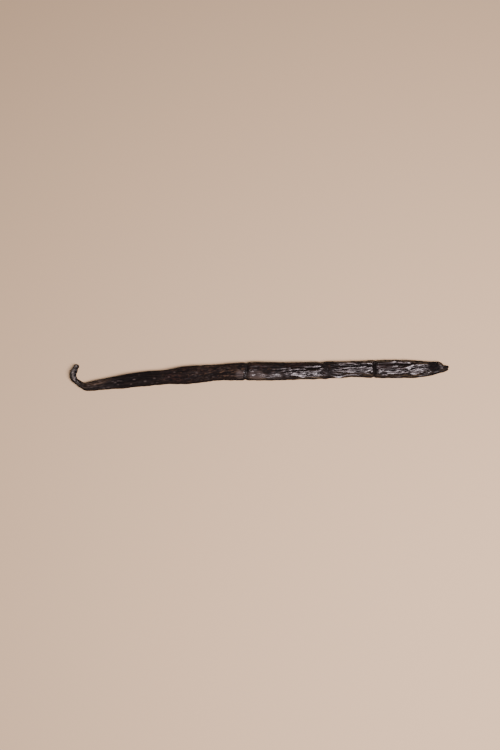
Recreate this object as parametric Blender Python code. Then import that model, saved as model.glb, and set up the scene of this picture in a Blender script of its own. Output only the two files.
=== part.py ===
"""A cured vanilla pod, lying on its flatter side, as one solid.

The pod is a loft along one smooth line. It starts at the blunt end of the hooked stalk, runs through
the hook into a long, flattened body with soft corners and lengthwise furrows, is pinched by three
cross creases, and ends at the blossom end in two uneven lips around a small pit. Metres, +Z up, the
blossom end toward +X. The underside is flattened, and rests on two short flats at z = 0.
"""

import math

import bpy
import numpy as np

# The line through the middle of the pod, measured from the end of the stalk.
LINE_LENGTH = 0.1810
HOOK_RUN = 0.0158  # the stretch that curls
# The hook's curl, as places and how far the line still points away from the body there, in degrees. Its tight
# bend is followed by a nearly straight stretch and a second, softer bend into the body.
HOOK_CURL = (
    (0.0000, -120.0),
    (0.0025, -123.0),
    (0.0048, -92.0),
    (0.0063, -69.0),
    (0.0080, -47.0),
    (0.0100, -45.0),
    (0.0118, -31.0),
    (0.0133, -12.0),
    (0.0155, 0.0),
    (0.0180, 0.0),
)
BODY_START_DEG = 7.6  # the body leaves the hook slightly uphill, toward +Y
BODY_END_DEG = 1.2
STRAIGHTEN_FROM, STRAIGHTEN_TO = 0.031, 0.095
WAVER_DEG = 1.7  # the body wavers a little from side to side
WAVER_LENGTH = 0.053
WAVER_CREST_AT = 0.033
LIPS_TURN_DEG = 10.0  # the blossom end turns toward +Y
LIPS_TURN_FROM = 0.169

# Widths across the pod, seen from above, at places along its line. The stalk is thin, the body swells
# twice before its middle and once more past the last crease, and the blossom end narrows to its lips.
WIDTH_STATIONS = (
    (0.0000, 0.0025),
    (0.0025, 0.0030),
    (0.0060, 0.0030),
    (0.0097, 0.0025),
    (0.0116, 0.0028),
    (0.0132, 0.0040),
    (0.0155, 0.0045),
    (0.0180, 0.0048),
    (0.0220, 0.0054),
    (0.0420, 0.0070),
    (0.0500, 0.0068),
    (0.0635, 0.0084),
    (0.0735, 0.0071),
    (0.0850, 0.0082),
    (0.0980, 0.0089),
    (0.1110, 0.0083),
    (0.1230, 0.0082),
    (0.1390, 0.0072),
    (0.1570, 0.0084),
    (0.1680, 0.0075),
    (0.1755, 0.0058),
    (0.1785, 0.0050),
    (0.1810, 0.0036),
)

# Thicknesses at places along the line. The stalk is nearly round, and the body's top runs more evenly
# than its sides.
THICKNESS_STATIONS = (
    (0.0000, 0.0024),
    (0.0050, 0.0028),
    (0.0100, 0.0026),
    (0.0140, 0.0034),
    (0.0220, 0.0044),
    (0.0440, 0.0052),
    (0.0740, 0.0057),
    (0.0990, 0.0059),
    (0.1240, 0.0058),
    (0.1460, 0.0055),
    (0.1610, 0.0056),
    (0.1710, 0.0051),
    (0.1785, 0.0038),
    (0.1810, 0.0027),
)

# The sections' form, as the power of a superellipse: 2 is an oval, and more gives a flat top and full shoulders.
STALK_POWER = 2.0
BODY_POWER = 3.0
LIP_POWER = 2.4
FLATTEN_FROM, FLATTEN_TO = 0.008, 0.044
LIPS_FROM = 0.167

# How the pod lies: on two short flats of its underside, with both ends a little above the floor.
FLAT_DEPTH = 0.0003  # how much the underside is flattened
FLAT_PLACES = (0.035, 0.151)
FLAT_HALF_LENGTH = 0.0015
UNDERSIDE_CLEARANCE = 0.00015  # above the floor, between the two flats
UNDERSIDE_GIVE = 0.00035  # the height over which the skin is pressed in toward that
HOOK_LIFT = 0.0010
HOOK_LIFT_TO = 0.030
LIP_LIFT = 0.0009
LIP_LIFT_FROM = 0.159

# The skin's relief.
LOBES = 3
LOBE_HEIGHT = 0.00022
FURROWS = 7
FURROW_DEPTH = 0.00038
FURROW_WANDER = 0.35  # how far a furrow drifts round the pod, in radians
FURROW_WAVE = 0.047  # the length over which it drifts back
FURROWS_FROM, FURROWS_FULL = 0.012, 0.030
FURROWS_FADE, FURROWS_END = 0.164, 0.175
UNDERSIDE_CALM = 0.3  # the share of the relief that is missing where the pod lies on the floor

# Cross creases, as place along the line, depth and half width.
CREASES = ((0.0882, 0.00032, 0.0011), (0.1250, 0.00026, 0.0016), (0.1470, 0.00042, 0.0012))

# The blossom end: a hollow in the upper side behind the lips, then the lips and their pit.
HOLLOW_AT = 0.1750
HOLLOW_HALF_LENGTH = 0.0030
HOLLOW_DEPTH = 0.0008
LOWER_LIP_REACH = 0.0016  # how far the lip on the -Y side stands out past the other
PIT_DEPTH = 0.0009
# The rings from the rim into the pit: their size as a share of the rim's, the share of the lower lip's reach
# that they keep, and how far past the rim they stand, in pit depths.
PIT_RINGS = ((0.775, 0.9, 0.15), (0.55, 0.8, -0.3), (0.275, 0.6, -1.0))

# The mesh.
RING_POINTS = 32
HOOK_STEP, BODY_STEP, LIP_STEP = 0.0010, 0.0020, 0.0008
LIP_STEPS_FROM = 0.171
ROUND_END_RINGS = 3
ROUND_END_SHARE = 0.7  # how far the stalk's end bulges, as a share of its radius
LAST_BULGE_SHARE = 0.3  # of the spacing of its rings, for its middle point
LINE_SAMPLES = 4000

NODE = "pod"
SKIN_COLOUR = (0.022, 0.0125, 0.0105, 1.0)
SKIN_ROUGHNESS = 0.38


def ease(value, start, end):
    """A smooth step from 0 at start to 1 at end."""
    share = np.clip((value - start) / (end - start), 0.0, 1.0)
    return share * share * (3.0 - 2.0 * share)


def through(stations, along):
    """The value at places along the line of a curve without corners through stations of place and value."""
    places, values = np.array(stations).T
    slopes = np.gradient(values, places)
    at = np.clip(along, places[0], places[-1])
    i = np.clip(np.searchsorted(places, at) - 1, 0, len(places) - 2)
    span = places[i + 1] - places[i]
    t = (at - places[i]) / span
    return (
        (2 * t**3 - 3 * t**2 + 1) * values[i]
        + (t**3 - 2 * t**2 + t) * span * slopes[i]
        + (3 * t**2 - 2 * t**3) * values[i + 1]
        + (t**3 - t**2) * span * slopes[i + 1]
    )


def heading(along):
    """The direction of the line seen from above, in radians from +X."""
    curl = through(HOOK_CURL, along)
    lean = (BODY_START_DEG - BODY_END_DEG) * (1.0 - ease(along, STRAIGHTEN_FROM, STRAIGHTEN_TO))
    phase = math.tau * (along - WAVER_CREST_AT) / WAVER_LENGTH
    waver = -WAVER_DEG * np.sin(phase) * ease(along, HOOK_RUN, WAVER_CREST_AT)
    lips = LIPS_TURN_DEG * ease(along, LIPS_TURN_FROM, LINE_LENGTH)
    return np.radians(BODY_END_DEG + lean + curl + waver + lips)


def line_from_above():
    """Places along the line with their X and Y, by adding up small steps in the heading's direction."""
    along = np.linspace(0.0, LINE_LENGTH, LINE_SAMPLES)
    step = along[1] - along[0]
    middle = heading(along[:-1] + step / 2)
    x = np.concatenate(([0.0], np.cumsum(np.cos(middle) * step)))
    y = np.concatenate(([0.0], np.cumsum(np.sin(middle) * step)))
    return along, x, y


def power(along):
    """The superellipse's power at a place."""
    flattened = STALK_POWER + (BODY_POWER - STALK_POWER) * ease(along, FLATTEN_FROM, FLATTEN_TO)
    return flattened + (LIP_POWER - BODY_POWER) * ease(along, LIPS_FROM, LINE_LENGTH)


def middle_height(along, thickness):
    """The height of the line above the floor."""
    hook = HOOK_LIFT * (1.0 - ease(along, 0.0, HOOK_LIFT_TO))
    lips = LIP_LIFT * ease(along, LIP_LIFT_FROM, LINE_LENGTH)
    return thickness / 2 - FLAT_DEPTH + hook + lips


def pressed(along, height):
    """Heights of the skin as it lies: cut level on the two flats, and elsewhere pressed in but clear of the floor."""
    if any(abs(along - place) < FLAT_HALF_LENGTH for place in FLAT_PLACES):
        return np.maximum(height, 0.0)
    give_from = UNDERSIDE_CLEARANCE + UNDERSIDE_GIVE
    given = UNDERSIDE_CLEARANCE + UNDERSIDE_GIVE * np.exp(np.minimum(height - give_from, 0.0) / UNDERSIDE_GIVE)
    return np.where(height < give_from, given, height)


def relief(along, angle):
    """How far the skin stands out from its plain section, round the ring given by angle."""
    body = ease(along, FURROWS_FROM, FURROWS_FULL) * (1.0 - ease(along, FURROWS_FADE, FURROWS_END))
    lobes = LOBE_HEIGHT * np.cos(LOBES * (angle - math.pi / 2))
    drift = FURROW_WANDER * math.sin(math.tau * along / FURROW_WAVE)
    furrows = FURROW_DEPTH * (0.5 + 0.5 * np.cos(FURROWS * (angle + drift))) ** 3
    creases = sum(depth * math.exp(-(((along - at) / half) ** 2)) for at, depth, half in CREASES)
    over_hollow = math.exp(-(((along - HOLLOW_AT) / HOLLOW_HALF_LENGTH) ** 2))
    hollow = HOLLOW_DEPTH * over_hollow * np.clip(np.sin(angle), 0.0, 1.0) ** 2
    calm = 1.0 - UNDERSIDE_CALM * np.clip(-np.sin(angle), 0.0, 1.0) ** 2
    return (body * (lobes - furrows) - creases) * calm - hollow


def ring_angles():
    """The angles of a ring's points: 0 is the +Y side, a quarter turn is the top."""
    return np.linspace(0.0, math.tau, RING_POINTS, endpoint=False)


def section(along, scale=1.0):
    """The ring at a place: offsets to the side and heights above the floor. scale shrinks it about the line."""
    angle = ring_angles()
    half_width = through(WIDTH_STATIONS, along) / 2
    half_thickness = through(THICKNESS_STATIONS, along) / 2
    form = power(along)
    fullness = (np.abs(np.cos(angle)) ** form + np.abs(np.sin(angle)) ** form) ** (-1 / form)
    side, up = half_width * fullness * np.cos(angle), half_thickness * fullness * np.sin(angle)
    out_side = np.sign(np.cos(angle)) * np.abs(side / half_width) ** (form - 1) / half_width
    out_up = np.sign(np.sin(angle)) * np.abs(up / half_thickness) ** (form - 1) / half_thickness
    out_length = np.hypot(out_side, out_up)
    stand_out = relief(along, angle)
    side = (side + stand_out * out_side / out_length) * scale
    up = (up + stand_out * out_up / out_length) * scale
    return side, pressed(along, middle_height(along, 2 * half_thickness) + up)


def body_places():
    """Where the loft has rings: closer together in the hook and at the lips than along the body."""
    places, at = [], 0.0
    while at < LINE_LENGTH - LIP_STEP / 2:
        places.append(at)
        if at < HOOK_RUN:
            at += HOOK_STEP
        elif at < LIP_STEPS_FROM:
            at += BODY_STEP
        else:
            at += LIP_STEP
    return [*places, LINE_LENGTH]


def loft_rings():
    """Every ring from the stalk's rounded end to the bottom of the pit, as arrays of points."""
    along, line_x, line_y = line_from_above()
    angle = ring_angles()

    def ring(at, scale=1.0, reach=0.0):
        side, height = section(at, scale)
        turn = float(heading(at))
        x = np.interp(at, along, line_x) - math.sin(turn) * side + math.cos(turn) * reach
        y = np.interp(at, along, line_y) + math.cos(turn) * side + math.sin(turn) * reach
        return np.column_stack((x, y, height))

    end_radius = through(WIDTH_STATIONS, 0.0) / 2
    rounding = [math.pi / 2 * (i + 1) / (ROUND_END_RINGS + 1) for i in range(ROUND_END_RINGS)]
    rings = [ring(0.0, math.sin(a), -end_radius * ROUND_END_SHARE * math.cos(a)) for a in rounding]
    drawn_back = -LOWER_LIP_REACH * (0.5 + 0.5 * np.cos(angle))
    for at in body_places():
        rings.append(ring(at, reach=drawn_back * ease(at, HOLLOW_AT, LINE_LENGTH)))
    for size, kept, past_rim in PIT_RINGS:
        rings.append(ring(LINE_LENGTH, size, drawn_back * kept + PIT_DEPTH * past_rim))
    return rings


def pod_mesh():
    """Joins the rings with quads and closes both ends with a fan to a middle point."""
    rings = loft_rings()
    points = np.concatenate(rings)
    first, second = rings[0].mean(axis=0), rings[1].mean(axis=0)
    stalk_end = first + LAST_BULGE_SHARE * (first - second)
    pit_bottom = rings[-1].mean(axis=0)
    points = np.vstack((points, stalk_end, pit_bottom))
    low, high = points.min(axis=0), points.max(axis=0)
    points -= ((low[0] + high[0]) / 2, (low[1] + high[1]) / 2, 0.0)

    faces = []
    for i in range(len(rings) - 1):
        for k in range(RING_POINTS):
            after = (k + 1) % RING_POINTS
            here, there = i * RING_POINTS, (i + 1) * RING_POINTS
            faces.append((here + k, here + after, there + after, there + k))
    first_end, last_end = len(points) - 2, len(points) - 1
    last = (len(rings) - 1) * RING_POINTS
    for k in range(RING_POINTS):
        after = (k + 1) % RING_POINTS
        faces.append((first_end, after, k))
        faces.append((last_end, last + k, last + after))

    mesh = bpy.data.meshes.new(NODE)
    mesh.from_pydata(points.tolist(), [], faces)
    mesh.shade_smooth()
    return mesh


def skin_material():
    """Oily, nearly black brown skin."""
    material = bpy.data.materials.new("pod_skin")
    material.use_nodes = True
    surface = material.node_tree.nodes["Principled BSDF"]
    surface.inputs["Base Color"].default_value = SKIN_COLOUR
    surface.inputs["Roughness"].default_value = SKIN_ROUGHNESS
    surface.inputs["Metallic"].default_value = 0.0
    return material


def main():
    """Clears the scene and models the pod."""
    for old in list(bpy.data.objects):
        bpy.data.objects.remove(old, do_unlink=True)
    collection = bpy.data.collections.new("vanilla_pod")
    bpy.context.scene.collection.children.link(collection)
    pod = bpy.data.objects.new(NODE, pod_mesh())
    pod.data.materials.append(skin_material())
    collection.objects.link(pod)


main()
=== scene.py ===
"""Looks of a cured vanilla pod: hooked stalk, furrowed oily skin, cross creases and a lipped blossom end.

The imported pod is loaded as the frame. One finely wrinkled mesh replaces it: it is extruded straight,
subdivided, given its relief, bent along the pod's line and set down on the floor. Everything is in metres.
"""

import logging
import math
from dataclasses import dataclass, field, fields
from enum import Enum
from typing import NamedTuple

import bpy
import numpy as np
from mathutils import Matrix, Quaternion, Vector, noise


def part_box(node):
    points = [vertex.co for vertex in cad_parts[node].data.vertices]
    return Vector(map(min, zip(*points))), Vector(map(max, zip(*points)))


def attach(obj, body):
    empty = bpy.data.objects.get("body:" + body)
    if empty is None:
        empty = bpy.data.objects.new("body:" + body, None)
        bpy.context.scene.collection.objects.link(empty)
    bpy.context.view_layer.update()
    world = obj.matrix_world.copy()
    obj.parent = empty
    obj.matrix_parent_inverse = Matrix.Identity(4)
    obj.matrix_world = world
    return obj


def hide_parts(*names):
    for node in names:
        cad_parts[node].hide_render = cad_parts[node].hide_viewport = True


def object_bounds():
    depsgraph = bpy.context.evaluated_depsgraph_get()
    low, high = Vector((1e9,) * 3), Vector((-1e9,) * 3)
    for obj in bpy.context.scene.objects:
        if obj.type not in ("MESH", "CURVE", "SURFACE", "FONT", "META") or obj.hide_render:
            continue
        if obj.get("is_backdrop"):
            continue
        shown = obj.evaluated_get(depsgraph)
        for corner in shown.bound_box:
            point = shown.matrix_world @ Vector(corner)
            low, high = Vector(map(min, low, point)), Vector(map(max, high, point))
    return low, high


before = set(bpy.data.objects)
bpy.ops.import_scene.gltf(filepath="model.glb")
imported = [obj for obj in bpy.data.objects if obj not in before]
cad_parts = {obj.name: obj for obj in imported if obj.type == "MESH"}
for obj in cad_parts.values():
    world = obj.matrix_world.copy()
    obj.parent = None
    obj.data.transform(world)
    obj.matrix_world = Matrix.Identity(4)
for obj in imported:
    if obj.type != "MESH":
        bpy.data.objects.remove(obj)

MM = 0.001
NODE = "pod"
BODY = "root"
TOP = math.pi / 2
DRIFT_SEED = 71.0
WANDER_SEED = 83.0

Colour = tuple[float, float, float, float]
Socket = bpy.types.NodeSocket

log = logging.getLogger("vanilla_pod")


def ease(value: np.ndarray | float, start: float, end: float) -> np.ndarray:
    """A smooth step.

    Args:
        value: where to read it.
        start: where it leaves 0.
        end: where it reaches 1.

    Returns:
        The step's height at each value.
    """
    share = np.clip((np.asarray(value, float) - start) / (end - start), 0.0, 1.0)
    return share * share * (3.0 - 2.0 * share)


def bump(value: np.ndarray | float, middle: float, half: float) -> np.ndarray:
    """A soft bump of height 1.

    Args:
        value: where to read it.
        middle: the place of its top.
        half: how far from there it has fallen to about a third.

    Returns:
        The bump's height at each value.
    """
    return np.exp(-(((np.asarray(value, float) - middle) / half) ** 2))


def turn_between(angle: np.ndarray, facing: float) -> np.ndarray:
    """The shortest turn from facing to angle, in radians, between minus and plus half a turn."""
    return (angle - facing + math.pi) % math.tau - math.pi


def noise_at(points: np.ndarray) -> np.ndarray:
    """Smooth noise between about -1 and 1 at each row of points."""
    return np.array([noise.noise(point) for point in points.tolist()])


@dataclass(frozen=True)
class Profile:
    """A value that changes along the pod, as a curve without corners through a few stations.

    Each station is a place in millimetres from the end of the stalk, and the value there. A curve that
    settles runs level at every station, so it never swings past them.
    """

    stations: tuple[tuple[float, float], ...]
    settles: bool = False

    def at(self, along: np.ndarray | float) -> np.ndarray:
        """The value at places along the line.

        Args:
            along: the places, in metres.

        Returns:
            The value at each place, in the stations' own unit.
        """
        places, values = np.array(self.stations).T
        slopes = np.zeros_like(values) if self.settles else np.gradient(values, places)
        spot = np.clip(np.asarray(along, float) / MM, places[0], places[-1])
        index = np.clip(np.searchsorted(places, spot) - 1, 0, len(places) - 2)
        span = places[index + 1] - places[index]
        t = (spot - places[index]) / span
        return (
            (2 * t**3 - 3 * t**2 + 1) * values[index]
            + (t**3 - 2 * t**2 + t) * span * slopes[index]
            + (3 * t**2 - 2 * t**3) * values[index + 1]
            + (t**3 - t**2) * span * slopes[index + 1]
        )


def steps(*stations: tuple[float, float]) -> Profile:
    """A profile that settles at each of its stations."""
    return Profile(stations, settles=True)


@dataclass(frozen=True)
class PodLine:
    """The line through the middle of the pod, seen from above, measured from the end of the stalk."""

    length: float = 181.0 * MM
    hook_run: float = 15.8 * MM
    hook_curl_deg: Profile = Profile(
        (
            (0.0, -120.0), (2.5, -123.0), (4.8, -92.0), (6.3, -69.0), (8.0, -47.0), (10.0, -45.0),
            (11.8, -31.0), (13.3, -12.0), (15.5, 0.0), (18.0, 0.0),
        )
    )
    body_start_deg: float = 7.6
    body_end_deg: float = 1.2
    straighten_from: float = 31.0 * MM
    straighten_to: float = 95.0 * MM
    waver_deg: float = 1.7
    waver_length: float = 53.0 * MM
    waver_crest_at: float = 33.0 * MM
    lips_turn_deg: float = 10.0
    lips_turn_from: float = 169.0 * MM
    samples: int = 1200

    def heading(self, along: np.ndarray) -> np.ndarray:
        """The line's direction at places along it, in radians from +X."""
        lean = self.body_start_deg - self.body_end_deg
        lean = lean * (1.0 - ease(along, self.straighten_from, self.straighten_to))
        phase = math.tau * (along - self.waver_crest_at) / self.waver_length
        waver = -self.waver_deg * np.sin(phase) * ease(along, self.hook_run, self.waver_crest_at)
        lips = self.lips_turn_deg * ease(along, self.lips_turn_from, self.length)
        return np.radians(self.body_end_deg + lean + self.hook_curl_deg.at(along) + waver + lips)

    def points(self) -> tuple[np.ndarray, np.ndarray]:
        """The line's course.

        Returns:
            Places along the line, and the X and Y of each, one row a place.
        """
        along = np.linspace(0.0, self.length, self.samples)
        step = along[1] - along[0]
        middle = self.heading(along[:-1] + step / 2)
        course = np.zeros((self.samples, 2))
        course[1:, 0] = np.cumsum(np.cos(middle) * step)
        course[1:, 1] = np.cumsum(np.sin(middle) * step)
        return along, course


@dataclass(frozen=True)
class Sections:
    """The pod's plain sections: how wide, thick and square they are along its line."""

    widths_mm: Profile = Profile(
        (
            (0.0, 2.5), (2.5, 3.0), (6.0, 3.0), (9.7, 2.5), (11.6, 2.8), (13.2, 4.0), (15.5, 4.5),
            (18.0, 4.8), (22.0, 5.4), (42.0, 7.0), (50.0, 6.8), (63.5, 8.4), (73.5, 7.1), (85.0, 8.2),
            (98.0, 8.9), (111.0, 8.3), (123.0, 8.2), (139.0, 7.2), (157.0, 8.4), (168.0, 7.5),
            (175.5, 5.8), (178.5, 5.0), (181.0, 4.1),
        )
    )
    thicknesses_mm: Profile = Profile(
        (
            (0.0, 2.4), (5.0, 2.8), (10.0, 2.6), (14.0, 3.4), (22.0, 4.4), (44.0, 5.2), (74.0, 5.7),
            (99.0, 5.9), (124.0, 5.8), (146.0, 5.5), (161.0, 5.6), (171.0, 5.1), (178.5, 3.8),
            (181.0, 2.7),
        )
    )
    stalk_power: float = 2.0
    body_power: float = 3.0
    lip_power: float = 2.4
    flatten_from: float = 8.0 * MM
    flatten_to: float = 44.0 * MM
    lips_from: float = 167.0 * MM
    end: float = 181.0 * MM
    roll_deg: Profile = steps(
        (0.0, 0.0), (12.0, 0.0), (30.0, -4.0), (80.0, -4.0), (90.0, 6.0), (104.0, 6.0), (110.0, 10.0),
        (124.0, 10.0), (131.0, -9.0), (152.0, -9.0), (165.0, -14.0), (181.0, -14.0),
    )

    def width(self, along: np.ndarray | float) -> np.ndarray:
        """The width at places along the line."""
        return self.widths_mm.at(along) * MM

    def thickness(self, along: np.ndarray | float) -> np.ndarray:
        """The thickness at places along the line."""
        return self.thicknesses_mm.at(along) * MM

    def roll(self, along: np.ndarray) -> np.ndarray:
        """How far the pod is twisted about its line, in radians; more leans its top toward +Y."""
        return np.radians(self.roll_deg.at(along))

    def fullness(self, along: np.ndarray, angle: np.ndarray) -> np.ndarray:
        """The factor that moves an oval section's points out to a flat top and full shoulders."""
        body = (self.body_power - self.stalk_power) * ease(along, self.flatten_from, self.flatten_to)
        lips = (self.lip_power - self.body_power) * ease(along, self.lips_from, self.end)
        power = self.stalk_power + body + lips
        return (np.abs(np.cos(angle)) ** power + np.abs(np.sin(angle)) ** power) ** (-1.0 / power)


class Rise(Enum):
    """Whether a fold stands out of the skin or sinks into it."""

    CREST = 1.0
    GROOVE = -1.0


@dataclass(frozen=True)
class Fold:
    """One long crest or groove that follows the skin. Round the pod, 0 is the +Y side and 90 the top."""

    rise: Rise
    start_mm: float
    end_mm: float
    angle_deg: float
    drift_deg: float
    height_mm: float
    half_width_mm: float
    end_share: float = 0.3

    def relief(self, along: np.ndarray, angle: np.ndarray, radius: np.ndarray) -> np.ndarray:
        """How far the fold lifts the skin.

        Args:
            along: places along the line.
            angle: angles round the pod.
            radius: the section's mean radius there.

        Returns:
            The lift, in metres, negative in a groove.
        """
        share = (along / MM - self.start_mm) / (self.end_mm - self.start_mm)
        facing = math.radians(self.angle_deg) + math.radians(self.drift_deg) * (share - 0.5)
        across = turn_between(angle, facing) * radius / MM
        ends = ease(share, 0.0, self.end_share) * ease(1.0 - share, 0.0, self.end_share)
        return self.rise.value * self.height_mm * MM * ends * bump(across, 0.0, self.half_width_mm)


@dataclass(frozen=True)
class Crease:
    """A cross crease: a sharp line in a soft pinch, with a fold raised on its stalk side."""

    at_mm: float
    slant_mm: float
    pinch_mm: float
    pinch_half_mm: float
    line_mm: float
    line_half_mm: float
    lip_mm: float
    facing_deg: float
    wander_mm: float = 0.8
    one_sided: float = 0.35
    lip_away: float = 1.3
    lip_half: float = 0.8

    def relief(self, along: np.ndarray, angle: np.ndarray, wander: np.ndarray) -> np.ndarray:
        """How far the crease lifts the skin.

        Args:
            along: places along the line.
            angle: angles round the pod.
            wander: noise that bends the crease's line.

        Returns:
            The lift, in metres.
        """
        away = along / MM - self.at_mm - self.slant_mm * np.cos(angle) - self.wander_mm * wander
        strength = 1.0 + self.one_sided * (np.cos(turn_between(angle, math.radians(self.facing_deg))) - 1.0)
        pinch = -self.pinch_mm * bump(away, 0.0, self.pinch_half_mm)
        line = -self.line_mm * bump(away, 0.0, self.line_half_mm)
        lip_at, lip_half = -self.lip_away * self.pinch_half_mm, self.lip_half * self.pinch_half_mm
        lip = self.lip_mm * bump(away, lip_at, lip_half)
        return (pinch + (line + lip) * strength) * MM


@dataclass(frozen=True)
class Spot:
    """A small patch of skin with a soft edge. Round the pod, 0 is the +Y side and 90 the top."""

    at_mm: float
    angle_deg: float
    half_length_mm: float
    half_width_mm: float
    strength: float = 1.0
    solid_to: float = 0.55
    gone_at: float = 1.15

    def share(self, along: np.ndarray, angle: np.ndarray, radius: np.ndarray) -> np.ndarray:
        """How much of the spot reaches each place.

        Args:
            along: places along the line.
            angle: angles round the pod.
            radius: the section's mean radius there.

        Returns:
            Shares from 0 to the spot's strength.
        """
        across = turn_between(angle, math.radians(self.angle_deg)) * radius / MM / self.half_width_mm
        lengthwise = (along / MM - self.at_mm) / self.half_length_mm
        return self.strength * (1.0 - ease(np.hypot(across, lengthwise), self.solid_to, self.gone_at))


@dataclass(frozen=True)
class Dent:
    """A smooth, shallow dent pressed into the skin."""

    spot: Spot
    depth_mm: float
    smoothness: float = 0.8


class WrinkleForm(Enum):
    """The profile of a set of wrinkles."""

    SWELL = "swell"
    FURROW = "furrow"


@dataclass(frozen=True)
class Wrinkles:
    """Wrinkles of one size that run along the pod, meeting and parting as they go."""

    form: WrinkleForm
    pitch_mm: float
    run_mm: float
    depth_mm: float
    seed: float
    sharpness: float = 0.8
    usual: float = 0.5
    groove_share: float = 0.55

    def relief(self, skin: np.ndarray) -> np.ndarray:
        """How far the wrinkles lift the skin at rows of straightened skin points, in metres."""
        stretched = skin / MM / np.array((self.run_mm, self.pitch_mm, self.pitch_mm))
        value = noise_at(stretched + self.seed)
        if self.form is WrinkleForm.SWELL:
            return self.depth_mm * MM * value
        return self.depth_mm * MM * (np.abs(value / self.usual) ** self.sharpness - self.groove_share)


@dataclass(frozen=True)
class Relief:
    """Everything that makes the skin uneven."""

    sections: Sections
    creases: tuple[Crease, ...] = (
        Crease(7.4, 0.0, 0.06, 0.7, 0.16, 0.30, 0.06, 20.0),
        Crease(87.6, 0.2, 0.42, 1.0, 0.20, 0.32, 0.14, 100.0),
        Crease(124.7, -1.7, 0.22, 1.7, 0.14, 0.55, 0.10, 60.0),
        Crease(146.9, 0.3, 0.34, 0.8, 0.34, 0.34, 0.18, 80.0),
    )
    folds: tuple[Fold, ...] = (
        Fold(Rise.CREST, 10.0, 20.0, 204.0, -6.0, 0.20, 0.50),
        Fold(Rise.GROOVE, 30.0, 62.0, 62.0, 14.0, 0.20, 0.45),
        Fold(Rise.GROOVE, 44.0, 86.0, 112.0, -10.0, 0.20, 0.50),
        Fold(Rise.CREST, 108.0, 124.5, 150.0, 0.0, 0.32, 0.75),
        Fold(Rise.CREST, 112.0, 124.0, 107.0, 0.0, 0.18, 0.50),
        Fold(Rise.GROOVE, 112.0, 125.0, 83.0, 4.0, 0.24, 0.30),
        Fold(Rise.GROOVE, 112.0, 124.0, 117.0, 3.0, 0.20, 0.28),
        Fold(Rise.CREST, 116.0, 125.0, 56.0, 4.0, 0.42, 0.50),
        Fold(Rise.CREST, 126.0, 134.5, 155.0, 0.0, 0.30, 0.60),
        Fold(Rise.GROOVE, 126.0, 134.0, 136.0, 6.0, 0.32, 0.28),
        Fold(Rise.GROOVE, 132.5, 142.5, 137.0, 5.0, 0.32, 0.30),
        Fold(Rise.CREST, 132.0, 141.5, 123.0, 2.0, 0.15, 0.50),
        Fold(Rise.CREST, 126.5, 140.0, 53.0, 1.0, 0.40, 0.48),
        Fold(Rise.GROOVE, 130.0, 146.0, 66.0, 1.0, 0.30, 0.32),
        Fold(Rise.GROOVE, 146.5, 156.0, 57.0, 2.0, 0.22, 0.35),
        Fold(Rise.CREST, 139.0, 147.0, 52.0, 2.0, 0.34, 0.48),
        Fold(Rise.CREST, 151.5, 166.0, 41.0, 0.0, 0.42, 0.50),
        Fold(Rise.GROOVE, 152.5, 166.0, 54.0, -4.0, 0.24, 0.30),
        Fold(Rise.GROOVE, 149.0, 163.0, 98.0, 0.0, 0.32, 0.34),
        Fold(Rise.CREST, 150.0, 159.0, 86.0, 0.0, 0.16, 0.50),
        Fold(Rise.GROOVE, 162.0, 174.0, 80.0, -4.0, 0.28, 0.32),
        Fold(Rise.CREST, 162.5, 174.5, 63.0, 0.0, 0.36, 0.50),
        Fold(Rise.CREST, 153.0, 161.0, 131.0, 0.0, 0.20, 0.50),
        Fold(Rise.CREST, 159.0, 172.0, 130.0, 10.0, 0.22, 0.55),
        Fold(Rise.GROOVE, 164.0, 175.0, 152.0, 0.0, 0.25, 0.50),
    )
    dent: Dent = Dent(Spot(102.4, 136.0, 2.6, 1.7), 0.20)
    swells: Wrinkles = Wrinkles(WrinkleForm.SWELL, 3.4, 26.0, 0.36, 3.1)
    wrinkles: tuple[Wrinkles, ...] = (
        Wrinkles(WrinkleForm.FURROW, 1.6, 15.0, 0.30, 11.7),
        Wrinkles(WrinkleForm.FURROW, 0.85, 6.0, 0.24, 27.3),
        Wrinkles(WrinkleForm.FURROW, 0.5, 2.6, 0.14, 41.9),
    )
    crinkles: Wrinkles = Wrinkles(WrinkleForm.FURROW, 0.9, 0.8, 0.12, 57.3)
    knobs: Wrinkles = Wrinkles(WrinkleForm.SWELL, 1.3, 1.6, 0.34, 63.9)
    wrinkled: Profile = steps(
        (0.0, 0.28), (12.0, 0.45), (24.0, 0.70), (80.0, 0.85), (89.0, 0.55), (101.0, 0.6), (110.0, 1.0),
        (170.0, 1.0), (181.0, 0.7),
    )
    crinkled: Profile = steps(
        (0.0, 1.0), (9.0, 1.0), (13.0, 0.1), (24.0, 0.2), (80.0, 0.5), (88.0, 0.2), (98.0, 0.55),
        (107.0, 0.6), (113.0, 0.15),
    )
    knobbly: Profile = steps((0.0, 1.0), (11.0, 1.0), (16.0, 0.5), (28.0, 0.2), (45.0, 0.0))
    crinkle_at_creases: float = 0.7
    crease_zone_mm: float = 2.0
    lobes: int = 3
    lobe_height: float = 0.22 * MM
    lobes_from: float = 120.0 * MM
    lobes_full: float = 132.0 * MM
    reference_width: float = 8.6 * MM
    wander_size_mm: float = 2.5
    drift_size_mm: tuple[float, float, float] = (9.0, 4.0, 4.0)
    drift: float = 0.28
    twist_deg: Profile = steps((146.0, 0.0), (158.0, 22.0), (172.0, 70.0))
    inset: float = 0.10 * MM
    radius_share: float = 0.45

    def radius(self, along: np.ndarray) -> np.ndarray:
        """The radius on which the wrinkles are laid out: it narrows less than the pod does."""
        return self.radius_share * np.sqrt(self.sections.width(along) * self.reference_width)

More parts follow.
